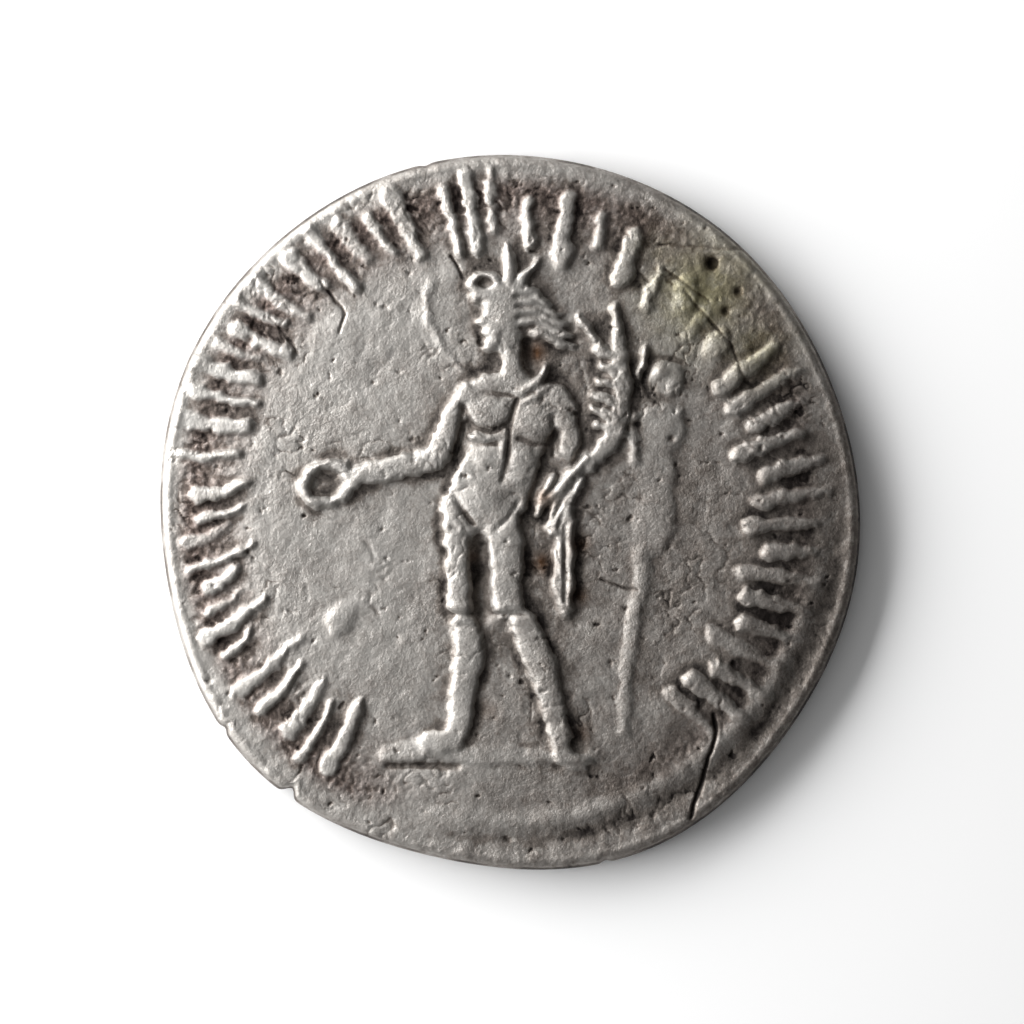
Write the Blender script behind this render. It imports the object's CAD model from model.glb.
"""A hammered silver coin, lying on a white table with its figure side up.

The coin is modelled at bench scale, one unit to the millimetre, and made metres at the end.
A die for each face is built up from ridges, bosses and strokes. A finely divided disc is then
pressed over each die, worn smooth, roughened and cracked, and the two discs are joined by an edge.
"""

import math

import bpy
import numpy as np
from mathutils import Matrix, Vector, noise

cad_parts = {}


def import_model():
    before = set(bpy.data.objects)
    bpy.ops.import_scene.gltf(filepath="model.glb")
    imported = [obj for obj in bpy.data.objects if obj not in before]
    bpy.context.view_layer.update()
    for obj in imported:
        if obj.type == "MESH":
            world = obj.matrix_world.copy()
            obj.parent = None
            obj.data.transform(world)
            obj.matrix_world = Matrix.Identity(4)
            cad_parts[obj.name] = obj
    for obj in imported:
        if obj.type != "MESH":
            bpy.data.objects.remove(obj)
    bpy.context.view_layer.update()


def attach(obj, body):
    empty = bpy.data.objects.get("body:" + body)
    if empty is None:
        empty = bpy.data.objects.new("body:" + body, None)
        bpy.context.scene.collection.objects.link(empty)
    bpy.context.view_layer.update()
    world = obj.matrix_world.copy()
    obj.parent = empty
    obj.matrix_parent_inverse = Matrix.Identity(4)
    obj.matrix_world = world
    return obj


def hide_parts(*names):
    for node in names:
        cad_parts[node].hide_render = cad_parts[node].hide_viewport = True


# The flan, in millimetres
FLAN_RADIUS = 11.1
DOME = 0.25
FIGURE_FIELD_Z = 1.4
BUST_FIELD_DEPTH = 0.45
BAND = (7.6, 10.6)  # the inscription's band, from its inner to its outer radius
BAND_FALL = 0.13
STROKE_FOOT = (0.02, 0.12)  # heights between which a stroke's side rises out of the bare ground
# Bearings between which the ground below the figure has no inscription, and how much cleaner it is
BARE_FOOT = (-122, -104, -78, -58)
BARE_FOOT_SHARE = 0.75
# Bearings between which the metal outside the inscription is clean, and how much wider it is
CLEAN_RIM = (-125, -100, 10, 40)
CLEAN_WIDTH = 1.0
# Waves of the hammered outline: count around the edge, depth, bearing of a crest in degrees
OUTLINE_WAVES = (
    (1, 0.136, -154),
    (2, 0.137, -77),
    (3, 0.038, -33),
    (4, 0.055, 38),
    (5, 0.076, 4),
    (6, 0.058, -13),
)
# Splits and nicks in the edge: bearing in degrees, depth, half-width in degrees
EDGE_NICKS = (
    (231.5, 0.28, 1.0),
    (217, 0.1, 0.8),
    (104, 0.06, 0.8),
    (285, 0.08, 0.7),
)

# The two discs are divided twice, by these cuts in each edge, and in the end thinned to these triangles
FIGURE_CUTS = (19, 11)
FIGURE_FACES = 158000
BUST_CUTS = (19, 4)
BUST_FACES = 18000
# Smoothing passes, for each thousand points of a disc, that find the creases at the feet of the forms,
# and the further ones that tell a hollow from a height
CREASE_PASSES = 0.85
HOLLOW_PASSES = 5.8
LIFT = 3.0  # height from which a disc is pressed onto its die
STILL_UP = 0.01  # a point this near to that height has met no form
RIM_START = 0.981  # where the rim's rounding starts, as a share of the radius
RIM_FALL = 0.26
LIP = (0.975, 0.008, 0.022)  # the low lip inside the rim: share of the radius, half-width, height
# Shares of the radius where handling begins to rub the rim clean and where it has, and how clean
RIM_RUBBED = (0.962, 0.985)
RUBBED_OFF = 0.8
# Steps of the rounded edge down from the figure side's rim: spread, and drop
EDGE_STEPS = ((1.004, 0.14), (1.002, 0.16), (0.998, 0.16), (0.992, 0.12))
EDGE_MIDDLE = 0.6  # a height between the two rims

# Relief above the field
BODY_RISE = 0.42
LIMB_RISE = 0.32
STROKE_RISE = 0.22
WORN_RISE = 0.05
TIP_WIDTH = 0.35  # share of a ridge's half-width left at its tips, and how far they reach past its ends
TIP_REACH = 0.7
STRIKE = 1.9  # how much the die's relief is deepened before it is worn
PLATEAU = 0.14  # the height that wear brings the forms down to, and the strokes
PLATEAU_STROKES = 0.11
KEPT = 0.3  # the share of the die's own modelling that wear leaves on the forms, and on the strokes
KEPT_STROKES = 0.06
RAGGED = ((0.5, 0.22), (0.2, 0.26))  # grain, and how far the forms' edges are shaken sideways
# Smoothing passes on the figure side before and after its lines are cut, and on the bust side
WORN_BEFORE_CUTS = 3
WORN_AFTER_CUTS = 6
WORN_BUST = 3
# Grain and depth of the swells left by the hammer, and of the ripples where the metal flowed
SWELL = (3.0, 0.1)
RIPPLE = (0.7, 0.05)
PATTERN_STEPS = (17.0, 5.0)  # how far apart they are read, by a name's length and by their count

# Lines cut into the figure, each as its places, half-width and depth
BODY_CUTS = (
    # Chest, middle line, belly and groin
    (((-1.5, 3.3), (-1.2, 2.66), (-0.6, 2.5), (-0.05, 2.8), (0.15, 3.5)), 0.06, 0.11),
    (((0.2, 2.3), (0.7, 2.1), (1.2, 2.14), (1.5, 2.5)), 0.06, 0.1),
    (((-0.08, 2.7), (-0.14, 1.7), (-0.3, 0.95)), 0.06, 0.08),
    (((-1.25, 2.15), (-0.5, 2.1)), 0.06, 0.07),
    (((-1.3, 1.6), (-0.8, 1.3), (-0.4, 1.35)), 0.06, 0.04),
    (((0.0, 1.3), (0.5, 1.2), (0.75, 1.5)), 0.06, 0.04),
    (((-1.85, 0.6), (-1.5, 0.0), (-1.2, -0.4)), 0.07, 0.08),
    (((0.2, 0.3), (-0.1, -0.2), (-0.5, -0.55)), 0.07, 0.07),
    (((-1.32, 3.95), (-0.6, 3.7), (0.1, 3.62)), 0.06, 0.07),
    # Between arm and side, and between the thighs
    (((-1.52, 3.3), (-1.6, 2.5), (-1.75, 1.9)), 0.09, 0.14),
    (((1.28, 3.0), (1.35, 2.3), (1.3, 1.8)), 0.07, 0.1),
    (((-1.0, -0.75), (-0.98, -1.6), (-0.93, -3.2)), 0.22, 0.2),
    # Tops of the boots, and the ground under the feet
    (((-2.05, -3.2), (-1.2, -3.22)), 0.06, 0.08),
    (((-0.6, -3.18), (0.4, -3.22)), 0.06, 0.08),
    (((-1.85, -3.55), (-1.1, -3.6)), 0.06, 0.06),
    (((0.0, -3.6), (0.7, -3.75)), 0.06, 0.06),
    (((-3.9, -7.92), (-2.6, -7.95), (-1.7, -7.97)), 0.09, 0.11),
    (((1.4, -7.92), (2.4, -7.94)), 0.08, 0.09),
    # Over and beside the head of the standard
    (((4.3, 4.74), (4.8, 4.82), (5.35, 4.7)), 0.06, 0.06),
    (((4.2, 4.5), (4.14, 4.0), (4.3, 3.6)), 0.06, 0.05),
    # Behind the neck, and folds of the hanging cloth and of the cloak over the arm
    (((0.45, 5.6), (0.55, 5.0), (0.65, 4.5)), 0.18, 0.14),
    (((1.66, -0.4), (1.65, -1.5), (1.66, -2.8)), 0.06, 0.1),
    (((1.5, -0.3), (1.42, -1.4), (1.45, -2.4)), 0.05, 0.06),
    (((2.3, 1.28), (1.7, 0.55), (1.35, -0.1)), 0.06, 0.11),
    (((2.2, 1.75), (1.5, 1.05), (1.1, 0.5)), 0.06, 0.08),
    (((1.95, 0.75), (1.6, 0.0), (1.45, -0.5)), 0.06, 0.08),
)
HAIR_LOCKS = 5
LOCK_WIDTHS = (0.22, 0.2, 0.17, 0.06)  # half-widths from root to tip
HAIR_CUT = (0.06, 0.1)  # half-width and depth of the lines between the locks
FACE_CUTS = (
    (((-0.8, 6.06), (-0.52, 6.02)), 0.05, 0.08),
    (((-0.98, 5.72), (-0.8, 5.74)), 0.05, 0.05),
    (((-0.95, 5.47), (-0.66, 5.44)), 0.05, 0.06),
    (((-0.3, 5.6), (-0.36, 5.2), (-0.5, 5.0)), 0.06, 0.05),
)
# Cracks in the metal, the deepest one first, each as its places, half-width and depth
CRACKS = (
    (((6.3, -6.35), (6.4, -6.9), (6.1, -7.95), (5.9, -8.6), (5.6, -9.6)), 0.06, 0.1),
    (((2.8, -2.1), (3.3, -2.3), (3.9, -2.45)), 0.045, 0.05),
    (((-6.0, 7.2), (-5.2, 6.2), (-5.4, 5.6)), 0.045, 0.05),
    (((-1.9, 8.0), (-1.5, 7.3)), 0.045, 0.05),
    (((4.8, 7.6), (6.2, 6.6)), 0.045, 0.04),
    (((4.6, 8.4), (7.4, 8.2)), 0.045, 0.03),
    (((5.4, 6.9), (6.9, 5.2), (7.3, 4.1)), 0.045, 0.04),
    (((-7.6, 6.1), (-6.7, 5.0)), 0.045, 0.04),
)
CRACK_GRAIN = 0.35  # how often a crack turns, and how far it strays
CRACK_STRAY = 0.05
# Deep pits: place, half-width and depth
PITS = (
    (6.27, 7.79, 0.2, 0.16),
    (6.7, 6.3, 0.13, 0.1),
    (3.9, 2.75, 0.12, 0.08),
    (5.0, 2.3, 0.1, 0.08),
    (7.1, 6.9, 0.12, 0.1),
    (-8.2, 5.4, 0.16, 0.08),
    (-7.9, 5.1, 0.12, 0.08),
    (-9.1, -4.0, 0.12, 0.08),
)
# The cloudy patterns: how fast their finer layers fade, how much finer each one is, and their count
CLOUD_LAYERS = (0.8, 2.0, 3)
GROUND_GRAIN = 0.2  # lumps of the rough ground between the strokes
GROUND_DEPTH = 0.042
PIT_GRAIN = 0.42  # spacing of the small pits
PIT_SHARE = (0.6, 0.95)  # where the pits' pattern starts and reaches its full depth
PIT_DEPTH = 0.05
PIT_DIRT = 0.35  # how dirty a pit is, against the deepest crack
CRAZE_GRAIN = 1.1  # spacing of the fine crazing
CRAZE_SHARE = (0.92, 1.0)  # where its lines start and reach their full depth
CRAZE_STRENGTH = 0.6
# Spacing of the patches where the crazing shows, their sideways shift and where they start and are full
CRAZE_PATCH = 2.6
PATCH_SHIFT = (40, 0, 0)
PATCH_SHARE = (0, 0.5)
# Radial streaks where the metal flowed out under the die: width, length against width, depth, and the
# radii where they start and are full
FLOW_WIDTH = 0.25
FLOW_LENGTH = 4
FLOW_DEPTH = 0.02
FLOW_RADIUS = (10.0, 10.8)
# Stains: place, half-width and strength, green ones and then rusty ones. The green ones are smooth, and
# hide some of the grime
GREEN_STAINS = ((6.0, 6.9, 2.0, 1.0), (7.6, 5.2, 1.3, 0.8), (4.6, 8.2, 1.0, 0.6))
GREEN_SMOOTH = 0.75
GREEN_COVER = 0.8
RUSTY_STAINS = (
    (0.75, 5.0, 0.35, 0.9),
    (0.9, -1.6, 0.35, 0.9),
    (2.15, -1.0, 0.3, 0.8),
    (2.1, -2.6, 0.3, 0.7),
    (1.0, 0.4, 0.35, 0.6),
    (-1.2, -1.4, 0.2, 0.5),
    (2.2, -6.9, 0.3, 0.5),
    (-0.7, -6.2, 0.3, 0.4),
)
# The border that the edge of the die left below: radius, half-width and height of its ridge and groove
BORDER_LINES = ((9.72, 0.32, 0.09), (10.34, 0.26, -0.05))
BORDER_SPAN = (-112, -88, -30, 15)  # bearings where it fades in and out
BORDER_LUMP = 0.5  # width of the lumps along it, and how strong they are
LUMP_STRENGTH = 0.35

# Rows of strokes where the inscription stands: first and last bearing, count, inner and outer radius,
# half-widths from the inner end to the outer one, lean of the inner end in degrees, rise
INSCRIPTION_ROWS = (
    (237, 222, 3, 7.9, 9.9, (0.12, 0.22, 0.3), 3.0, STROKE_RISE),
    (221, 211, 2, 7.7, 10.0, (0.1, 0.2, 0.3), 3.0, STROKE_RISE),
    (209, 175, 8, 8.5, 10.1, (0.1, 0.2, 0.26), 3.0, STROKE_RISE),
    (173, 162, 2, 8.8, 10.5, (0.2, 0.26, 0.28), 2.5, STROKE_RISE),
    (161, 136, 6, 8.9, 10.7, (0.2, 0.24, 0.28), 2.0, STROKE_RISE),
    (134, 108, 5, 8.8, 10.6, (0.2, 0.26, 0.32), 1.5, STROKE_RISE),
    (104, 92, 3, 8.4, 10.4, (0.22, 0.22, 0.26), 0.5, STROKE_RISE),
    (91, 62, 4, 8.3, 9.8, (0.32, 0.26, 0.3), 1.0, STROKE_RISE),
    (62, 36, 4, 7.9, 8.9, (0.36, 0.36, 0.2), 1.5, WORN_RISE),
    (35, -50, 15, 7.7, 9.8, (0.36, 0.3, 0.12), 1.5, STROKE_RISE),
)
# The bust side's rows, first and last bearing and count, and the radius of its border
BUST_ROWS = ((222, 130, 15), (40, -44, 14))
BUST_BORDER = 10.05
STROKE_WIDTH = 0.82  # wear has left the strokes this much of their width
# How far the strokes differ from each other: place as a share of their spacing, inner and outer end in
# millimetres, width and rise as shares. The strokes have this mean share of their rise, and bow by a
# share of their lean
PLACE_VARIES = 0.05
INNER_VARIES = 0.4
OUTER_VARIES = 0.3
WIDTH_VARIES = 0.3
RISE_VARIES = 0.4
MEAN_RISE = 0.75
BOW = 0.25

# The photograph's frame in millimetres, and the lens
FRAME_WIDTH = 32.0
LENS = 150.0
SENSOR = 36.0
NEAREST = 0.005  # metres
# The table and the light, in metres, degrees and watts
TABLE_SIZE = 1.2
LIGHT_BEARING = 160
LIGHT_ELEVATION = 23
LIGHT_DISTANCE = 0.12
LIGHT_WIDTH = 0.2
LIGHT_HEIGHT = 0.08
LIGHT_POWER = 0.54
# The room's brightness at its left and at its right, and how far across the change reaches
ROOM_LEFT = 0.57
ROOM_RIGHT = 0.02
ROOM_SPAN = 0.7

METRES = 0.001  # to the millimetre


def linear(hex_colour):
    """A colour written as an sRGB hex value, made linear."""
    parts = [int(hex_colour[i : i + 2], 16) / 255 for i in (1, 3, 5)]
    curve = [p / 12.92 if p <= 0.04045 else ((p + 0.055) / 1.055) ** 2.4 for p in parts]
    return (*curve, 1.0)


def outline_share(bearing):
    """How far the edge stands out on a bearing, as a share of the mean radius."""
    share = np.ones_like(bearing)
    for count, depth, crest in OUTLINE_WAVES:
        share += depth / FLAN_RADIUS * np.cos(count * (bearing - math.radians(crest)))
    for crest, depth, width in EDGE_NICKS:
        away = np.angle(np.exp(1j * (bearing - math.radians(crest)))) / math.radians(width)
        share -= depth / FLAN_RADIUS * np.exp(-away * away)
    return share


def smooth_step(value, start, end):
    """Zero before the start, one past the end, and an easy slope between them."""
    share = np.clip((value - start) / (end - start), 0, 1)
    return share * share * (3 - 2 * share)


def between(value, span):
    """One between the middle two of four values, zero outside the outer two, with easy slopes."""
    return smooth_step(value, *span[:2]) * (1 - smooth_step(value, *span[2:]))


def polar(places):
    """The radius of each point, and its bearing in degrees."""
    return np.hypot(places[:, 0], places[:, 1]), np.degrees(np.arctan2(places[:, 1], places[:, 0]))


def figure_field(x, y):
    """Height of the figure side's bare field, which drops where the inscription runs."""
    radius = np.hypot(x, y)
    return FIGURE_FIELD_Z - DOME * (radius / FLAN_RADIUS) ** 2 - BAND_FALL * smooth_step(radius, *BAND)


def bust_field(x, y):
    """Height of the bust side's bare field while that face is being worked, face up."""
    return -BUST_FIELD_DEPTH + DOME * (x * x + y * y) / FLAN_RADIUS**2


def deselect():
    bpy.ops.object.select_all(action="DESELECT")


def pick(pieces):
    """Selects just these pieces, the first one active."""
    deselect()
    for piece in pieces:
        piece.select_set(True)
    bpy.context.view_layer.objects.active = pieces[0]


def joined(pieces, name):
    pick(pieces)
    bpy.ops.object.join()
    whole = bpy.context.object
    whole.name = name
    return whole


def points_of(piece):
    places = np.empty(len(piece.data.vertices) * 3)
    piece.data.vertices.foreach_get("co", places)
    return places.reshape(-1, 3)


def move_points(piece, places):
    piece.data.vertices.foreach_set("co", places.ravel())
    piece.data.update()


def finish_with(piece, kind, **settings):
    """Adds a modifier to the piece and applies it."""
    pick([piece])
    modifier = piece.modifiers.new(kind.lower(), kind)
    for key, value in settings.items():
        setattr(modifier, key, value)
    bpy.ops.object.modifier_apply(modifier=modifier.name)


def smooth_heights(piece, passes):
    finish_with(piece, "SMOOTH", use_x=False, use_y=False, factor=0.5, iterations=passes)


class Die:
    """The raised forms of one face, built up on its field."""

    def __init__(self, field):
        self.field = field
        self.forms = []

    def ridge(self, spine, rise):
        """A rounded ridge along a spine of places with half-widths, tapered off at both ends."""
        deselect()
        spine = [Vector(place) for place in spine]
        spine = [self.tip(spine[1], spine[0]), *spine, self.tip(spine[-2], spine[-1])]
        flatness = rise / max(place.z for place in spine)
        bpy.ops.curve.primitive_bezier_curve_add(location=(0, 0, 0))
        rod = bpy.context.object
        rod.data.splines[0].bezier_points.add(len(spine) - 2)
        for point, place in zip(rod.data.splines[0].bezier_points, spine):
            point.co = (place.x, place.y, self.field(place.x, place.y) / flatness)
            point.radius = place.z
            point.handle_left_type = "AUTO"
            point.handle_right_type = "AUTO"
        rod.data.bevel_depth = 1
        rod.data.bevel_resolution = 6
        rod.data.resolution_u = 14
        rod.data.use_fill_caps = True
        bpy.ops.object.convert(target="MESH")
        bpy.ops.transform.resize(value=(1, 1, flatness), center_override=(0, 0, 0))
        bpy.ops.object.transform_apply()
        self.forms.append(bpy.context.object)

    @staticmethod
    def tip(before, last):
        """The narrow place past a spine's last one, where its ridge tapers off."""
        way = Vector((last.x - before.x, last.y - before.y, 0)).normalized() * last.z * TIP_REACH
        return Vector((last.x + way.x, last.y + way.y, last.z * TIP_WIDTH))

    def boss(self, x, y, across, along, rise, turn=0):
        """An oval swelling."""
        deselect()
        bpy.ops.mesh.primitive_uv_sphere_add(segments=32, ring_count=16, radius=1)
        swelling = bpy.context.object
        swelling.scale = (across, along, rise)
        swelling.rotation_euler.z = math.radians(turn)
        swelling.location = (x, y, self.field(x, y))
        bpy.ops.object.transform_apply()
        self.forms.append(swelling)

    def ring(self, x, y, across, along, half, rise, turn=0):
        """An oval ring, such as the lip of a dish."""
        deselect()
        bpy.ops.mesh.primitive_torus_add(
            major_radius=1, minor_radius=half / across, major_segments=64, minor_segments=16
        )
        lip = bpy.context.object
        lip.scale = (across, along, rise * across / half)
        lip.rotation_euler.z = math.radians(turn)
        lip.location = (x, y, self.field(x, y))
        bpy.ops.object.transform_apply()
        self.forms.append(lip)

    def radial(self, start, end, widths, rise, bow=0.0):
        """A stroke of the inscription from one polar place to another, each a bearing and a radius."""
        places = []
        for share, width in zip((0, 0.5, 1), widths):
            bearing = math.radians(start[0] + (end[0] - start[0]) * share + bow * (share == 0.5))
            radius = start[1] + (end[1] - start[1]) * share
            places.append((radius * math.cos(bearing), radius * math.sin(bearing), width))
        self.ridge(places, rise)


def figure_trunk(die):
    trunk = [
        (0.05, 3.6, 1.2),
        (0.0, 2.9, 1.28),
        (-0.15, 2.0, 1.14),
        (-0.58, 0.9, 1.22),
        (-0.85, 0.1, 1.26),
        (-0.95, -0.3, 0.9),
    ]
    die.ridge(trunk, BODY_RISE - 0.16)
    shoulders = [(-1.4, 3.7, 0.34), (-0.6, 3.98, 0.3), (0.5, 3.9, 0.32), (1.5, 3.5, 0.42)]
    die.ridge(shoulders, BODY_RISE - 0.06)
    # Chest, ribs and belly
    die.boss(-0.66, 3.1, 0.72, 0.64, BODY_RISE + 0.1)
    die.boss(0.75, 2.95, 0.82, 0.66, BODY_RISE + 0.06)
    die.boss(-0.66, 1.6, 0.62, 0.62, BODY_RISE + 0.02)
    die.boss(0.28, 1.5, 0.5, 0.75, BODY_RISE)
    die.boss(-0.9, 0.35, 0.8, 0.62, BODY_RISE + 0.04)
    die.ridge([(-0.2, 2.6, 0.1), (-0.3, 1.8, 0.12), (-0.42, 1.0, 0.09)], BODY_RISE + 0.12)
    die.ridge([(-1.3, 2.34, 0.1), (-0.8, 2.28, 0.13), (-0.35, 2.36, 0.09)], BODY_RISE + 0.1)
    die.ridge([(-1.3, -0.52, 0.1), (-1.0, -0.66, 0.13), (-0.66, -0.58, 0.1)], LIMB_RISE + 0.06)


def figure_legs(die):
    die.ridge([(-1.75, 0.3, 0.44), (-1.72, -1.25, 0.4), (-1.62, -3.0, 0.36)], LIMB_RISE + 0.04)
    die.ridge([(-0.35, 0.1, 0.62), (-0.18, -1.25, 0.56), (-0.16, -3.0, 0.46)], LIMB_RISE + 0.06)
    left_shin = [(-1.55, -3.3, 0.36), (-1.36, -4.1, 0.5), (-1.5, -5.56, 0.42), (-1.66, -6.95, 0.34)]
    right_shin = [(0.25, -3.25, 0.4), (0.81, -4.47, 0.5), (1.28, -6.03, 0.4), (1.6, -7.55, 0.34)]
    die.ridge(left_shin, LIMB_RISE)
    die.ridge(right_shin, LIMB_RISE)
    # Knees and feet
    die.boss(-1.6, -2.95, 0.4, 0.26, LIMB_RISE + 0.1)
    die.boss(-0.1, -2.95, 0.48, 0.26, LIMB_RISE + 0.1)
    die.ridge([(-1.65, -6.95, 0.42), (-2.1, -7.15, 0.44), (-2.7, -7.3, 0.4)], WORN_RISE + 0.07)
    die.ridge([(-2.0, -7.2, 0.5), (-3.0, -7.4, 0.42), (-4.0, -7.6, 0.24)], WORN_RISE)
    die.ridge([(1.5, -7.55, 0.34), (1.9, -7.75, 0.3), (2.4, -7.8, 0.2)], LIMB_RISE - 0.08)


def figure_arms(die):
    die.ridge([(-1.28, 3.7, 0.44), (-1.84, 2.88, 0.4), (-2.31, 1.72, 0.4)], LIMB_RISE)
    die.ridge([(-2.31, 1.7, 0.4), (-3.47, 1.41, 0.38), (-4.85, 1.16, 0.3)], LIMB_RISE - 0.02)
    die.ring(-5.78, 0.88, 0.74, 0.58, 0.2, LIMB_RISE - 0.08, 20)
    die.ridge([(-4.75, 1.1, 0.24), (-5.15, 0.7, 0.18), (-5.4, 0.4, 0.1)], LIMB_RISE)
    die.boss(1.4, 3.52, 0.52, 0.44, LIMB_RISE + 0.08)
    die.ridge([(1.45, 3.3, 0.36), (1.85, 2.25, 0.32), (1.75, 1.8, 0.28)], LIMB_RISE)
    # The rolled edge of the cloak on the shoulders
    rolled_edge = [(0.06, 3.66, 0.12), (0.5, 3.86, 0.17), (0.86, 4.16, 0.16), (1.06, 4.6, 0.08)]
    die.ridge(rolled_edge, BODY_RISE + 0.14)
    die.ridge([(0.3, 3.42, 0.1), (0.8, 3.62, 0.13), (1.2, 3.9, 0.1)], BODY_RISE + 0.12)
    die.ridge([(1.05, 3.35, 0.1), (1.5, 3.5, 0.14), (1.95, 3.3, 0.12)], LIMB_RISE + 0.1)


def figure_head(die):
    die.ridge([(-0.02, 5.4, 0.4), (0.0, 4.7, 0.36), (0.05, 4.0, 0.44)], LIMB_RISE)
    die.boss(-0.22, 6.05, 0.72, 0.92, BODY_RISE - 0.02, 8)
    # The face, turned to the left: brow, nose, lips and chin in even thirds
    die.boss(-0.45, 5.55, 0.46, 0.56, BODY_RISE)
    die.ridge([(-0.78, 6.35, 0.13), (-0.98, 5.9, 0.12)], LIMB_RISE + 0.04)
    die.ridge([(-0.7, 5.6, 0.12), (-0.86, 5.58, 0.1)], LIMB_RISE)
    die.boss(-0.68, 5.26, 0.26, 0.22, LIMB_RISE + 0.04)
    # The basket crown with a curl and two leaves
    die.ridge([(-1.2, 6.7, 0.18), (-0.6, 6.78, 0.25), (0.1, 6.75, 0.28)], LIMB_RISE + 0.04)
    die.ring(-0.84, 7.16, 0.42, 0.26, 0.14, LIMB_RISE - 0.02, 6)
    die.ridge([(-0.5, 6.98, 0.2), (0.1, 6.92, 0.22)], LIMB_RISE)
    die.ridge([(-0.03, 7.0, 0.2), (-0.06, 7.6, 0.2), (-0.14, 8.35, 0.07)], LIMB_RISE)
    die.ridge([(0.12, 7.0, 0.18), (0.42, 7.4, 0.18), (0.8, 7.9, 0.07)], LIMB_RISE - 0.02)
    # Thick wavy locks that sweep back and down from the crown
    for lock in range(HAIR_LOCKS):
        line = [(*place, width) for place, width in zip(lock_line(lock), LOCK_WIDTHS)]
        die.ridge(line, LIMB_RISE + 0.08 * math.cos(2 * lock))


def lock_line(lock):
    """The wavy line of a lock of hair from root to tip, counted from the crown down."""
    share = lock / (HAIR_LOCKS - 1)
    root = np.array((0.1 + 0.2 * share, 6.9 - 1.3 * share))
    tip = np.array((1.2 + 1.6 * share - 0.8 * share * share, 6.4 - 1.35 * share))
    way = tip - root
    aside = np.array((-way[1], way[0]))
    return root, root + way * 0.35 + aside * 0.12, root + way * 0.72 + aside * 0.04, tip + aside * 0.06


def horn_and_cloth(die):
    horn = [
        (1.1, -0.6, 0.08),
        (1.3, 0.0, 0.14),
        (1.8, 0.85, 0.18),
        (2.53, 1.6, 0.22),
        (3.15, 2.35, 0.28),
        (3.42, 3.4, 0.32),
        (3.4, 4.7, 0.28),
        (3.28, 5.6, 0.2),
        (3.2, 6.5, 0.08),
    ]
    die.ridge(horn, LIMB_RISE)
    die.ridge([(3.0, 4.95, 0.13), (2.5, 5.5, 0.13), (2.02, 6.1, 0.06)], STROKE_RISE + 0.06)
    die.ridge([(3.95, 4.2, 0.1), (4.1, 4.8, 0.12), (4.2, 5.15, 0.08)], STROKE_RISE)
    # Leaves and fruit along the horn's inner side
    for fruit in range(6):
        y = 4.95 - 0.46 * fruit
        x = 3.0 + 0.12 * math.sin(1.3 * fruit)
        leaf = [(x + 0.25, y - 0.12, 0.17), (x - 0.12, y, 0.16), (x - 0.42, y + 0.12, 0.1)]
        die.ridge(leaf, LIMB_RISE + 0.1)
        die.boss(x + 0.38, y - 0.2, 0.2, 0.17, BODY_RISE + 0.1)
    # The hanging end of the cloak, and its folds
    hanging_end = [(1.72, 0.2, 0.22), (1.66, -1.0, 0.32), (1.62, -2.6, 0.32), (1.75, -3.3, 0.14)]
    die.ridge(hanging_end, LIMB_RISE - 0.03)
    die.ridge([(1.45, 0.0, 0.09), (1.44, -1.2, 0.1), (1.46, -2.5, 0.08)], LIMB_RISE + 0.06)
    die.ridge([(1.88, -0.2, 0.09), (1.86, -1.4, 0.1), (1.84, -2.6, 0.08)], LIMB_RISE + 0.04)
    die.ridge([(1.5, -2.85, 0.12), (1.85, -3.0, 0.12)], LIMB_RISE + 0.02)
    # Folds gathered over the forearm
    die.ridge([(2.5, 1.75, 0.16), (1.6, 0.9, 0.18), (0.95, 0.2, 0.12)], LIMB_RISE + 0.06)
    die.ridge([(2.2, 1.05, 0.12), (1.62, 0.1, 0.15), (1.2, -0.75, 0.1)], LIMB_RISE + 0.02)
    die.ridge([(1.35, 1.1, 0.1), (0.95, 0.5, 0.12), (0.8, -0.1, 0.08)], LIMB_RISE - 0.02)


def standard(die):
    """The standard at the right, worn to soft lumps on a shaft."""
    die.boss(4.78, 4.19, 0.6, 0.62, WORN_RISE - 0.015)
    die.boss(4.58, 4.32, 0.34, 0.26, WORN_RISE + 0.03, 30)
    die.boss(5.02, 3.95, 0.26, 0.4, WORN_RISE + 0.01, -25)
    die.boss(4.55, 2.6, 0.9, 0.85, WORN_RISE - 0.005, 20)
    die.boss(4.45, 1.2, 0.72, 0.9, WORN_RISE - 0.02)
    die.boss(4.45, -0.2, 0.68, 1.2, WORN_RISE - 0.015, -8)
    die.ridge([(3.82, 3.0, 0.2), (3.8, 2.2, 0.16), (3.9, 1.4, 0.1)], WORN_RISE + 0.03)
    shaft = [
        (4.1, -1.2, 0.34),
        (4.05, -2.2, 0.28),
        (3.8, -3.4, 0.24),
        (3.6, -5.2, 0.23),
        (3.47, -6.9, 0.2),
    ]
    die.ridge(shaft, WORN_RISE - 0.005)


def ground_and_mound(die):
    """The ground line, the mound at the left, the faint arc by the head and a die line at the top."""
    die.ridge([(-3.9, -7.5, 0.3), (-1.0, -7.55, 0.32), (2.6, -7.65, 0.26)], WORN_RISE - 0.02)
    die.boss(-5.3, -3.3, 0.42, 0.66, WORN_RISE - 0.015, -32)
    arc = [(-2.5, 7.3, 0.12), (-2.66, 6.4, 0.11), (-2.3, 5.4, 0.1), (-1.6, 4.4, 0.07)]
    die.ridge(arc, WORN_RISE - 0.025)
    die.radial((93, 9.0), (93.5, 10.8), (0.08, 0.07, 0.07), WORN_RISE)


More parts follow.
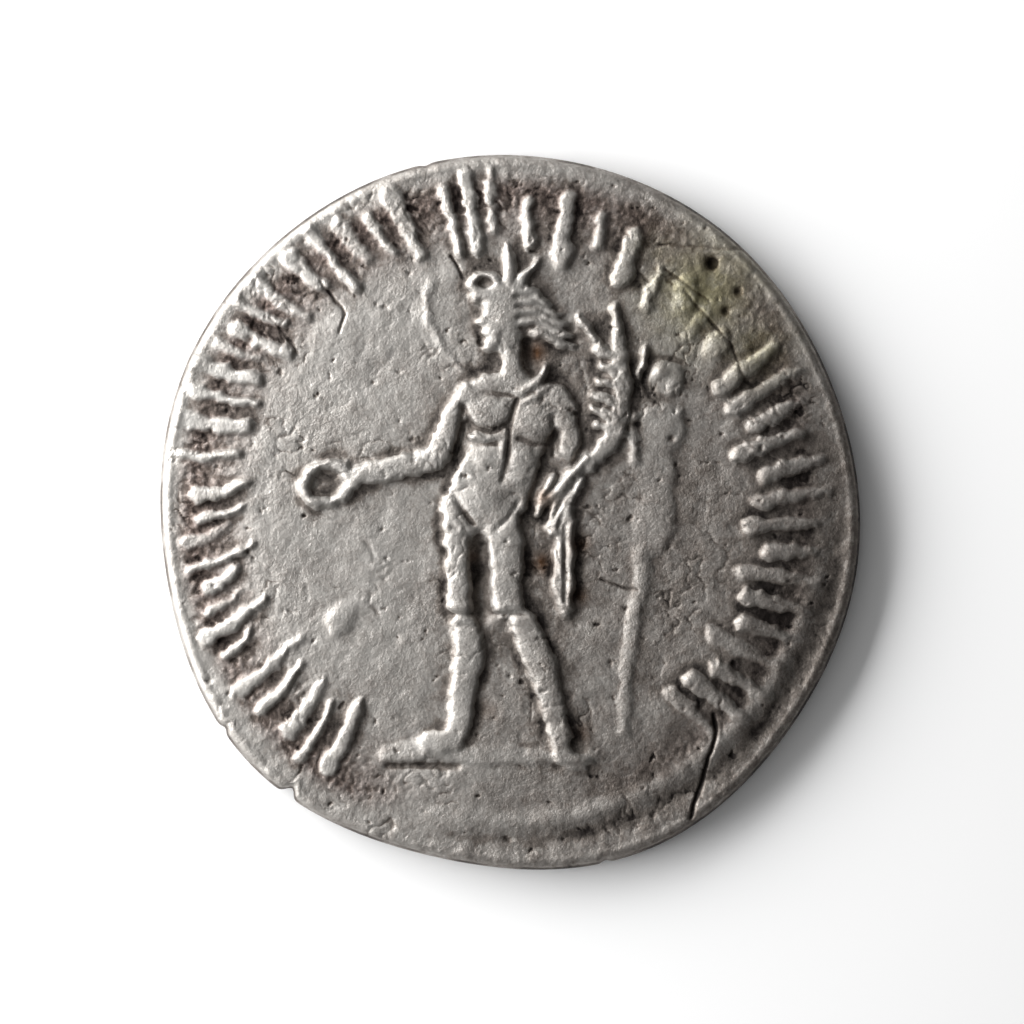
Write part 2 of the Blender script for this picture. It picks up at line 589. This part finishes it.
def figure_inscription(die):
    """The rows round the figure, clockwise: leaning nails, upright bars, then wedges at the right.

    Each of their sizes varies by a wave with a pace of its own, so that no two strokes are alike."""
    for start, end, count, inner, outer, widths, lean, rise in INSCRIPTION_ROWS:
        for i in range(count):
            place = i + 0.5 + PLACE_VARIES * math.sin(5.3 * i + inner)
            bearing = start + (end - start) * place / count
            foot = (bearing - lean, inner + INNER_VARIES * math.sin(2.4 * i + start))
            head = (bearing, outer + OUTER_VARIES * math.sin(1.7 * i))
            thick = STROKE_WIDTH * (1 + WIDTH_VARIES * math.sin(3.1 * i + end))
            struck = rise * (MEAN_RISE + RISE_VARIES * math.sin(4.3 * i + inner))
            die.radial(foot, head, [width * thick for width in widths], struck, BOW * lean)


def rough_edged(die):
    """Shakes the die's forms sideways, widely and then finely, so that no edge is drawn clean."""
    for grain, reach in RAGGED:
        for direction in ("X", "Y"):
            uneven(die, "ragged_%s_%s" % (direction, grain), grain, reach, direction)
    return die


def figure_die():
    die = Die(figure_field)
    figure_trunk(die)
    figure_legs(die)
    figure_arms(die)
    figure_head(die)
    horn_and_cloth(die)
    standard(die)
    ground_and_mound(die)
    figure_inscription(die)
    return rough_edged(joined(die.forms, "figure_die"))


def bust_head(die, high):
    die.boss(-0.2, 2.2, 2.7, 2.9, high - 0.16, 10)
    # The face, turned to the right: cheek, brow and nose, lips, chin and eye
    die.boss(0.8, 0.4, 1.75, 2.2, high - 0.08)
    die.ridge([(1.7, 2.9, 0.4), (2.0, 1.9, 0.42), (2.55, 0.85, 0.32)], high - 0.1)
    die.boss(2.0, -0.3, 0.5, 0.34, high - 0.1)
    die.boss(1.7, -1.1, 0.7, 0.55, high - 0.06)
    die.ridge([(1.3, 1.65, 0.16), (2.1, 1.75, 0.14)], high - 0.02)
    # Ear and neck
    die.ring(-0.7, 0.7, 0.4, 0.6, 0.16, high + 0.05, -12)
    die.ridge([(-0.1, -0.8, 1.35), (-0.3, -2.4, 1.3), (-0.5, -4.0, 1.6)], high - 0.02)


def bust_dress(die, high):
    die.boss(-0.6, -5.6, 3.4, 1.8, high - 0.1, 6)
    for fold in range(5):
        x = -3.1 + 1.15 * fold
        die.ridge([(x - 0.6, -6.6, 0.26), (x + 0.4, -5.2, 0.3), (x + 1.3, -4.0, 0.2)], high - 0.02)


def bust_hair(die, high):
    """Rows of short curls, narrower towards the nape."""
    for row in range(6):
        y = 4.4 - 0.75 * row
        back = -2.4 + 0.14 * (row - 2.4) ** 2
        front = 1.6 - 0.42 * row
        for lock in range(4):
            x = back + (front - back) * (lock + 0.5) / 4
            die.ridge([(x - 0.3, y - 0.22, 0.13), (x, y + 0.12, 0.17), (x + 0.35, y - 0.1, 0.12)], high)


def bust_crown(die):
    """Six spikes in a fan, and the two ends of the tie at the nape."""
    for spike in range(6):
        bearing = math.radians(38 + 20 * spike)
        way = Vector((math.cos(bearing), math.sin(bearing)))
        root = Vector((-0.1, 2.0)) + way * 2.55
        die.ridge([(*root, 0.34), (*(root + way), 0.24), (*(root + way * 2), 0.08)], LIMB_RISE)
    die.ridge([(-2.6, 1.4, 0.2), (-3.6, 1.0, 0.2), (-4.3, 0.2, 0.12)], STROKE_RISE)
    die.ridge([(-2.5, 1.0, 0.2), (-3.2, 0.0, 0.2), (-3.6, -1.4, 0.12)], STROKE_RISE)


def bust_inscription(die):
    for start, end, count in BUST_ROWS:
        for i in range(count):
            bearing = start + (end - start) * (i + 0.5) / count
            inner = 7.7 + 0.15 * math.sin(2.1 * i)
            die.radial((bearing, inner), (bearing + 1, 9.0), (0.2, 0.16, 0.2), STROKE_RISE - 0.04)


def bust_die():
    """A plain bust in profile with a spiked crown, in the worn style of the side that isn't seen."""
    die = Die(bust_field)
    bust_head(die, BUST_FIELD_DEPTH)
    bust_dress(die, BUST_FIELD_DEPTH)
    bust_hair(die, BUST_FIELD_DEPTH)
    bust_crown(die)
    bust_inscription(die)
    die.ring(0, 0, BUST_BORDER, BUST_BORDER, 0.3, BUST_FIELD_DEPTH - 0.03)
    return rough_edged(joined(die.forms, "bust_die"))


def round_disc(cuts, face_down=False):
    """A disc of even triangles: a hexagon fan, divided, then rounded to the coin's outline."""
    deselect()
    bpy.ops.mesh.primitive_circle_add(vertices=6, radius=1, fill_type="TRIFAN", rotation=(0, 0, 0))
    disc = bpy.context.object
    bpy.ops.object.mode_set(mode="EDIT")
    bpy.ops.mesh.select_all(action="SELECT")
    for count in cuts:
        bpy.ops.mesh.subdivide(number_cuts=count)
    bpy.ops.object.mode_set(mode="OBJECT")
    places = points_of(disc)
    corner = math.radians(60)
    start = math.atan2(places[1, 1], places[1, 0])
    bearing = np.arctan2(places[:, 1], places[:, 0]) - start
    reach = np.hypot(places[:, 0], places[:, 1])
    sector = np.floor(bearing / corner + 1e-6)
    within = bearing - (sector + 0.5) * corner
    share = reach * np.cos(within) / math.cos(corner / 2)
    along = 0.5 + np.tan(within) / (2 * math.tan(corner / 2))
    turned = (sector + along) * corner + start
    radius = share * FLAN_RADIUS * outline_share(math.pi - turned if face_down else turned)
    lifted = np.full_like(radius, LIFT)
    move_points(disc, np.stack([radius * np.cos(turned), radius * np.sin(turned), lifted], 1))
    return disc, share


def press(disc, die):
    """Lets the disc down onto the die."""
    finish_with(
        disc,
        "SHRINKWRAP",
        target=die,
        wrap_method="PROJECT",
        use_project_z=True,
        use_negative_direction=True,
        use_positive_direction=False,
    )
    bpy.data.objects.remove(die)


def settle(disc, field):
    """Rests the disc on its bare field where the die has no relief."""
    places = points_of(disc)
    bare = field(places[:, 0], places[:, 1])
    struck = np.where(places[:, 2] > LIFT - STILL_UP, bare, places[:, 2])
    places[:, 2] = np.maximum(struck, bare)
    move_points(disc, places)


def wear_down(disc, field):
    """Wears the relief to low plateaus with steep sides, as years of handling do."""
    places = points_of(disc)
    bare = field(places[:, 0], places[:, 1])
    relief = places[:, 2] - bare
    in_band = smooth_step(polar(places)[0], *BAND)
    kept = KEPT - (KEPT - KEPT_STROKES) * in_band
    plateau = PLATEAU - (PLATEAU - PLATEAU_STROKES) * in_band
    places[:, 2] = bare + plateau * np.tanh(relief * STRIKE / plateau) + kept * relief
    move_points(disc, places)


def uneven(piece, name, grain, depth, direction="Z"):
    """Moves the surface by a cloudy pattern. Each call reads the pattern at a place of its own."""
    pattern = bpy.data.textures.new(name, "CLOUDS")
    pattern.noise_scale = grain
    across, along = PATTERN_STEPS
    deselect()
    bpy.ops.object.empty_add(location=(across * len(name), along * len(bpy.data.textures), 0))
    origin = bpy.context.object
    bpy.context.view_layer.update()
    finish_with(
        piece,
        "DISPLACE",
        texture=pattern,
        texture_coords="OBJECT",
        texture_coords_object=origin,
        direction=direction,
        strength=depth,
    )
    bpy.data.objects.remove(origin)


def far_from(places, line):
    """How far each point lies, seen from above, from a line through a few places."""
    flat = places[:, :2]
    away = np.full(len(flat), np.inf)
    for start, end in zip(line, line[1:]):
        start = np.array(start)
        way = np.array(end) - start
        share = np.clip((flat - start) @ way / (way @ way), 0, 1)
        gap = flat - start - share[:, None] * way
        away = np.minimum(away, np.hypot(gap[:, 0], gap[:, 1]))
    return away


def strayed(places):
    """The points shifted about a little, so that a line drawn by them wanders as a crack does."""
    shifts = [noise.noise_vector(Vector(place) / CRACK_GRAIN) for place in places * (1, 1, 0)]
    return places + CRACK_STRAY * np.array(shifts)


def engrave(disc, lines, seen_at=None):
    """Sinks cuts and cracks into the surface, each with its half-width and depth."""
    places = points_of(disc)
    for line, half, depth in lines:
        away = far_from(places if seen_at is None else seen_at, line) / half
        places[:, 2] -= depth * np.exp(-away * away)
    move_points(disc, places)


def die_border(disc):
    """Raises the lumpy ridge, and sinks the groove outside it, that the edge of the die left below."""
    places = points_of(disc)
    radius, bearing = polar(places)
    here = between(bearing, BORDER_SPAN)
    lumps = 1 + LUMP_STRENGTH * streaks(places, BORDER_LUMP)
    for middle, half, height in BORDER_LINES:
        away = (radius - middle) / half
        places[:, 2] += height * lumps * here * np.exp(-away * away)
    move_points(disc, places)


def streaks(places, width):
    """An uneven pattern of radial streaks of a given width at the rim, from about minus one to one."""
    radius, bearing = polar(places)
    turn = np.radians(bearing)
    across = FLAN_RADIUS / width
    along = radius / FLOW_LENGTH / width
    spots = np.stack([np.cos(turn) * across, np.sin(turn) * across, along], 1)
    return np.array([noise.noise(Vector(spot)) for spot in spots])


def flow_lines(disc):
    """Raises the fine radial streaks that the metal took as it spread to the rim."""
    places = points_of(disc)
    share = smooth_step(polar(places)[0], *FLOW_RADIUS)
    places[:, 2] += FLOW_DEPTH * share * streaks(places, FLOW_WIDTH)
    move_points(disc, places)


def cloud_of(places, grain):
    """A cloudy pattern of a given grain over the face, about minus one to one."""
    spots = places * (1, 1, 0) / grain
    return np.array([noise.fractal(Vector(spot), *CLOUD_LAYERS) for spot in spots])


def pitted(places):
    """How deep each point lies in a pit or a line of crazing: one is the floor of a small pit."""
    share = smooth_step(cloud_of(places, PIT_GRAIN), *PIT_SHARE)
    for x, y, half, depth in PITS:
        away = np.hypot(places[:, 0] - x, places[:, 1] - y) / half
        share = np.maximum(share, np.exp(-away * away) * depth / PIT_DEPTH)
    lines = smooth_step(1 - np.abs(cloud_of(places, CRAZE_GRAIN)), *CRAZE_SHARE)
    patches = smooth_step(cloud_of(places + PATCH_SHIFT, CRAZE_PATCH), *PATCH_SHARE)
    return np.maximum(share, CRAZE_STRENGTH * lines * patches)


def sink_pits(disc):
    places = points_of(disc)
    places[:, 2] -= PIT_DEPTH * pitted(places)
    move_points(disc, places)


def rim_fall(share):
    """How far the rounded rim drops, by the share of the radius, less the low lip inside it."""
    way = np.clip((share - RIM_START) / (1 - RIM_START), 0, 1)
    middle, half, height = LIP
    away = (share - middle) / half
    return RIM_FALL * (1 - np.sqrt(1 - way * way)) - height * np.exp(-away * away)


def bare_ground(places, field):
    """The ground of the inscription's band: one where it is bare, none on the strokes and elsewhere."""
    radius, bearing = polar(places)
    height = places[:, 2] - field(places[:, 0], places[:, 1])
    outer = radius + CLEAN_WIDTH * between(bearing, CLEAN_RIM)
    band = smooth_step(radius, *BAND) * (1 - smooth_step(outer, *FLOW_RADIUS))
    below = BARE_FOOT_SHARE * between(bearing, BARE_FOOT)
    return band * (1 - below) * (1 - smooth_step(height, *STROKE_FOOT))


def rough_ground(disc, field):
    """Roughens the sunk ground between the strokes, where the metal never met the die."""
    places = points_of(disc)
    rough = bare_ground(places, field) * (1 - GREEN_SMOOTH * spread_of(places, GREEN_STAINS))
    places[:, 2] += GROUND_DEPTH * rough * cloud_of(places, GROUND_GRAIN)
    move_points(disc, places)


def struck_figure_side():
    disc, share = round_disc(FIGURE_CUTS)
    press(disc, figure_die())
    settle(disc, figure_field)
    wear_down(disc, figure_field)
    smooth_heights(disc, WORN_BEFORE_CUTS)
    partings = [(lock_line(lock + 0.5), *HAIR_CUT) for lock in range(HAIR_LOCKS - 1)]
    engrave(disc, (*BODY_CUTS, *FACE_CUTS, *partings))
    smooth_heights(disc, WORN_AFTER_CUTS)
    rough_ground(disc, figure_field)
    die_border(disc)
    flow_lines(disc)
    engrave(disc, CRACKS, strayed(points_of(disc)))
    sink_pits(disc)
    uneven(disc, "hammered_swell", *SWELL)
    uneven(disc, "flow_of_metal", *RIPPLE)
    places = points_of(disc)
    places[:, 2] -= rim_fall(share)
    move_points(disc, places)
    keep_finish(disc, figure_field, share, 1)
    thin(disc, FIGURE_FACES)
    return disc


def struck_bust_side():
    disc, share = round_disc(BUST_CUTS, face_down=True)
    press(disc, bust_die())
    settle(disc, bust_field)
    smooth_heights(disc, WORN_BUST)
    keep_finish(disc, bust_field, share, 0)
    places = points_of(disc)
    places[:, 2] = np.minimum(places[:, 2] - rim_fall(share), 0)
    move_points(disc, places)
    thin(disc, BUST_FACES)
    pick([disc])
    bpy.ops.transform.rotate(value=math.pi, orient_axis="Y", center_override=(0, 0, 0))
    bpy.ops.object.transform_apply()
    return disc


def thin(disc, faces):
    """Thins the mesh where it is flat, so that the triangles left lie along the relief's edges."""
    finish_with(disc, "DECIMATE", ratio=faces / len(disc.data.polygons), use_collapse_triangulate=True)


def select_rim(coin, low, high):
    """In edit mode, selects the open edges whose two ends lie between two heights."""
    bpy.ops.mesh.select_mode(type="EDGE")
    bpy.ops.mesh.select_all(action="DESELECT")
    bpy.ops.mesh.select_non_manifold(
        extend=False, use_wire=False, use_multi_face=False, use_non_contiguous=False
    )
    bpy.ops.object.mode_set(mode="OBJECT")
    heights = points_of(coin)[:, 2]
    for edge in coin.data.edges:
        if edge.select:
            ends = [heights[i] for i in edge.vertices]
            edge.select = low < min(ends) and max(ends) < high
    bpy.ops.object.mode_set(mode="EDIT")


def edged(figure_side, bust_side):
    """Joins the two faces by a rounded edge, drawn down from the figure side's rim."""
    coin = joined([figure_side, bust_side], "coin_piece")
    bpy.ops.object.mode_set(mode="EDIT")
    select_rim(coin, EDGE_MIDDLE, LIFT)
    for spread, drop in EDGE_STEPS:
        bpy.ops.mesh.extrude_edges_move(TRANSFORM_OT_translate={"value": (0, 0, -drop)})
        bpy.ops.transform.resize(value=(spread, spread, 1), center_override=(0, 0, 0))
    bpy.ops.mesh.select_all(action="DESELECT")
    select_rim(coin, -LIFT, LIFT)
    bpy.ops.mesh.bridge_edge_loops()
    bpy.ops.mesh.select_all(action="SELECT")
    bpy.ops.mesh.normals_make_consistent(inside=False)
    bpy.ops.object.mode_set(mode="OBJECT")
    return coin


def spread_of(places, spots):
    """How strongly a few soft round spots, each a place, half-width and strength, cover each point."""
    share = np.zeros(len(places))
    for x, y, half, strength in spots:
        away = np.hypot(places[:, 0] - x, places[:, 1] - y) / half
        share = np.maximum(share, strength * np.exp(-away * away))
    return share


def keep_finish(disc, field, share, stained):
    """Stores on each point what the finish needs: how deep it lies in a crease and in a hollow, the
    bare ground of the inscription, the dirt in pits and cracks, and the stains."""
    pick([disc])
    bpy.ops.object.duplicate()
    soft = bpy.context.object
    places = points_of(disc)
    unrubbed = 1 - RUBBED_OFF * smooth_step(share, *RIM_RUBBED)
    sunk = []
    for rate in (CREASE_PASSES, HOLLOW_PASSES):
        passes = round(rate * len(places) / 1000)
        smooth_heights(soft, passes)
        sunk.append((points_of(soft)[:, 2] - places[:, 2]) * unrubbed)
    bpy.data.objects.remove(soft)
    dirt = PIT_DIRT * pitted(places)
    wandering = strayed(places)
    deepest = CRACKS[0][2]
    for line, half, depth in CRACKS:
        away = far_from(wandering, line) / half
        dirt = np.maximum(dirt, np.exp(-away * away) * depth / deepest)
    green = spread_of(places, GREEN_STAINS) * stained
    layers = {
        "crease": sunk[0],
        "hollow": sunk[1],
        "band": bare_ground(places, field) * (1 - GREEN_COVER * green),
        "dirt": np.clip(dirt, 0, 1) * stained,
        "green": green,
        "rust": spread_of(places, RUSTY_STAINS) * stained,
    }
    for name, values in layers.items():
        layer = disc.data.attributes.new(name, "FLOAT", "POINT")
        layer.data.foreach_set("value", values.astype(np.float32))


def node(tree, kind, inputs=None, **settings):
    """Adds a node with its settings, and its inputs as values or links."""
    made = tree.nodes.new(kind)
    for key, value in settings.items():
        setattr(made, key, value)
    for key, value in (inputs or {}).items():
        if isinstance(value, bpy.types.NodeSocket):
            tree.links.new(value, made.inputs[key])
        else:
            made.inputs[key].default_value = value
    return made


def toned_silver():
    """Struck silver, long buried and handled: satin on the high points, grainy and grey on the field,
    with brown and mauve toning in the hollows, dark dirt in the pits, and green and rusty stains."""
    material = bpy.data.materials.new("toned_silver")
    material.use_nodes = True
    tree = material.node_tree
    shader = tree.nodes["Principled BSDF"]
    place = node(tree, "ShaderNodeTexCoord").outputs["Object"]
    kept = {}
    for name in ("crease", "hollow", "band", "dirt", "green", "rust"):
        kept[name] = node(tree, "ShaderNodeAttribute", attribute_name=name).outputs["Fac"]
    # Cloudy patterns, each with its size in millimetres
    clouds = {}
    sizes = (("grain", 0.1, 3.0), ("mottle", 0.5, 5.0), ("patch", 1.2, 1.0), ("stain", 3.5, 5.0))
    for name, size, detail in sizes:
        inputs = {"Vector": place, "Scale": 1 / (size * METRES), "Detail": detail, "Roughness": 0.68}
        clouds[name] = node(tree, "ShaderNodeTexNoise", inputs).outputs["Fac"]

    # Grime in fine specks, thickest on the ground of the inscription and in the hollows
    inputs = {"Vector": place, "Scale": 1 / (0.26 * METRES), "Detail": 3.0, "Roughness": 0.6}
    specks = node(tree, "ShaderNodeTexNoise", inputs).outputs["Fac"]
    inputs = {"Value": specks, "From Min": 0.46, "From Max": 0.74}
    specks = node(tree, "ShaderNodeMapRange", inputs).outputs["Result"]
    inputs = {"Value": kept["hollow"], "From Max": 0.06, "To Min": 0.12, "To Max": 0.8}
    sunk = node(tree, "ShaderNodeMapRange", inputs).outputs["Result"]
    inputs = {0: kept["band"], 1: 0.6, 2: sunk}
    thick = node(tree, "ShaderNodeMath", inputs, operation="MULTIPLY_ADD").outputs[0]
    grime = node(tree, "ShaderNodeMath", {0: specks, 1: thick}, operation="MULTIPLY").outputs[0]
    # Old dirt in broken lines along the feet of the forms
    inputs = {"Value": kept["crease"], "From Min": 0.007, "From Max": 0.035}
    line = node(tree, "ShaderNodeMapRange", inputs).outputs["Result"]
    inputs = {"Value": clouds["patch"], "From Min": 0.42, "From Max": 0.6, "To Min": 0.1}
    broken = node(tree, "ShaderNodeMapRange", inputs).outputs["Result"]
    caked = node(tree, "ShaderNodeMath", {0: line, 1: broken}, operation="MULTIPLY").outputs[0]
    # The tone, from bright metal at zero to black dirt at one, added up from its causes. The patina is
    # darker to the right and towards the bottom, by a share for each metre
    across = node(tree, "ShaderNodeSeparateXYZ", {0: place})
    hollow = kept["hollow"]
    inputs = {"Value": hollow, "From Min": -0.05, "From Max": 0.1, "To Min": 0.45, "To Max": 0.58}
    tone = node(tree, "ShaderNodeMapRange", inputs).outputs["Result"]
    causes = (
        (clouds["grain"], 0.3, -0.15),
        (clouds["mottle"], 0.42, -0.21),
        (clouds["stain"], 0.4, -0.2),
        (across.outputs["X"], 12.0, 0.0),
        (across.outputs["Y"], -3.0, 0.0),
        (kept["band"], 0.15, 0.0),
        (kept["dirt"], 0.34, 0.0),
        (kept["rust"], 0.16, 0.0),
        (kept["green"], -0.14, 0.0),
        (grime, 0.19, 0.0),
        (caked, 0.32, 0.0),
    )
    for cause, strength, offset in causes:
        inputs = {0: cause, 1: strength, 2: offset}
        part = node(tree, "ShaderNodeMath", inputs, operation="MULTIPLY_ADD")
        tone = node(tree, "ShaderNodeMath", {0: tone, 1: part.outputs[0]}, operation="ADD").outputs[0]
    colours = node(tree, "ShaderNodeValToRGB", {"Fac": tone})
    ramp = colours.color_ramp
    ramp.elements[0].position = 0.0
    ramp.elements[0].color = linear("#dedbd6")
    ramp.elements[1].position = 1.0
    ramp.elements[1].color = linear("#332f2d")
    for position, colour in ((0.22, "#c6c3be"), (0.4, "#aeaaa5"), (0.68, "#766f69")):
        ramp.elements.new(position).color = linear(colour)
    colour = colours.outputs["Color"]
    # Mauve, green and brown tints, each in the cloudy patches of its own layer
    tints = (
        ("band", "stain", "#d8cbc9"),
        ("green", "mottle", "#dcd8b4"),
        ("rust", "mottle", "#c08a55"),
    )
    for layer, cloud, tint in tints:
        inputs = {0: kept[layer], 1: clouds[cloud], 2: clouds[cloud]}
        patchy = node(tree, "ShaderNodeMath", inputs, operation="MULTIPLY_ADD", use_clamp=True)
        inputs = {0: kept[layer], 1: patchy.outputs[0]}
        share = node(tree, "ShaderNodeMath", inputs, operation="MULTIPLY").outputs[0]
        inputs = {0: share, 6: colour, 7: linear(tint)}
        mix = node(tree, "ShaderNodeMix", inputs, data_type="RGBA", blend_type="MULTIPLY")
        colour = mix.outputs[2]
    tree.links.new(colour, shader.inputs["Base Color"])
    inputs = {"Value": tone, "From Min": 0.2, "From Max": 0.9, "To Min": 0.51, "To Max": 0.7}
    satin = node(tree, "ShaderNodeMapRange", inputs).outputs["Result"]
    tree.links.new(satin, shader.inputs["Roughness"])
    shader.inputs["Metallic"].default_value = 1.0
    # The leathery skin of corroded silver: curling creases, over soft dents and under a fine grain
    inputs = {
        "Vector": place,
        "Scale": 1 / (0.7 * METRES),
        "Detail": 3.0,
        "Roughness": 0.6,
        "Distortion": 0.8,
    }
    creases = node(tree, "ShaderNodeTexNoise", inputs, noise_type="RIDGED_MULTIFRACTAL").outputs["Fac"]
    height = node(tree, "ShaderNodeMath", {0: creases, 1: -0.8}, operation="MULTIPLY").outputs[0]
    for cloud, strength in (("grain", 0.4), ("mottle", 1.6)):
        inputs = {0: clouds[cloud], 1: strength, 2: height}
        height = node(tree, "ShaderNodeMath", inputs, operation="MULTIPLY_ADD").outputs[0]
    # It is crisp in some places and rubbed smooth in others
    stain = clouds["stain"]
    inputs = {"Value": stain, "From Min": 0.36, "From Max": 0.64, "To Min": 0.45, "To Max": 0.95}
    crisp = node(tree, "ShaderNodeMapRange", inputs).outputs["Result"]
    inputs = {"Strength": crisp, "Distance": 0.05 * METRES, "Height": height}
    dent = node(tree, "ShaderNodeBump", inputs)
    tree.links.new(dent.outputs["Normal"], shader.inputs["Normal"])
    return material


def lit_table():
    """A white table with one broad soft light low on the left, and a room that darkens to the right."""
    deselect()
    bpy.ops.mesh.primitive_plane_add(size=TABLE_SIZE, location=(0, 0, 0))
    table = bpy.context.object
    table.name = "table"
    card = bpy.data.materials.new("white_card")
    card.use_nodes = True
    shader = card.node_tree.nodes["Principled BSDF"]
    shader.inputs["Base Color"].default_value = linear("#f4f4f4")
    shader.inputs["Roughness"].default_value = 0.9
    table.data.materials.append(card)

    bearing = math.radians(LIGHT_BEARING)
    rise = math.radians(LIGHT_ELEVATION)
    level = math.cos(rise)
    way = Vector((math.cos(bearing) * level, math.sin(bearing) * level, math.sin(rise)))
    bpy.ops.object.light_add(type="AREA", location=way * LIGHT_DISTANCE)
    window = bpy.context.object
    window.name = "window_light"
    window.data.shape = "RECTANGLE"
    window.data.size = LIGHT_WIDTH
    window.data.size_y = LIGHT_HEIGHT
    window.data.energy = LIGHT_POWER
    window.rotation_euler = (-way).to_track_quat("-Z", "Y").to_euler()

    bpy.context.scene.view_settings.view_transform = "Standard"
    world = bpy.data.worlds.new("soft_room")
    bpy.context.scene.world = world
    world.use_nodes = True
    tree = world.node_tree
    look = node(tree, "ShaderNodeTexCoord").outputs["Generated"]
    across = node(tree, "ShaderNodeSeparateXYZ", {0: look}).outputs["X"]
    inputs = {
        "Value": across,
        "From Min": -ROOM_SPAN,
        "From Max": ROOM_SPAN,
        "To Min": ROOM_LEFT,
        "To Max": ROOM_RIGHT,
    }
    glow = node(tree, "ShaderNodeMapRange", inputs).outputs["Result"]
    tree.links.new(glow, tree.nodes["Background"].inputs["Strength"])
    tree.nodes["Background"].inputs["Color"].default_value = (1, 1, 1, 1)


def overhead_camera():
    """Straight above the coin, with the photograph's width across the frame."""
    height = FIGURE_FIELD_Z + FRAME_WIDTH * LENS / SENSOR
    bpy.ops.object.camera_add(location=(0, 0, height * METRES), rotation=(0, 0, 0))
    camera = bpy.context.object
    camera.data.lens = LENS
    camera.data.sensor_width = SENSOR
    camera.data.clip_start = NEAREST
    bpy.context.scene.camera = camera


def main():
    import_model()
    coin = edged(struck_figure_side(), struck_bust_side())
    pick([coin])
    bpy.ops.transform.resize(value=(METRES, METRES, METRES), center_override=(0, 0, 0))
    bpy.ops.object.transform_apply()
    bpy.ops.object.shade_smooth()
    coin.data.materials.clear()
    coin.data.materials.append(toned_silver())
    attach(coin, "root")
    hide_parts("coin")
    lit_table()
    overhead_camera()


main()
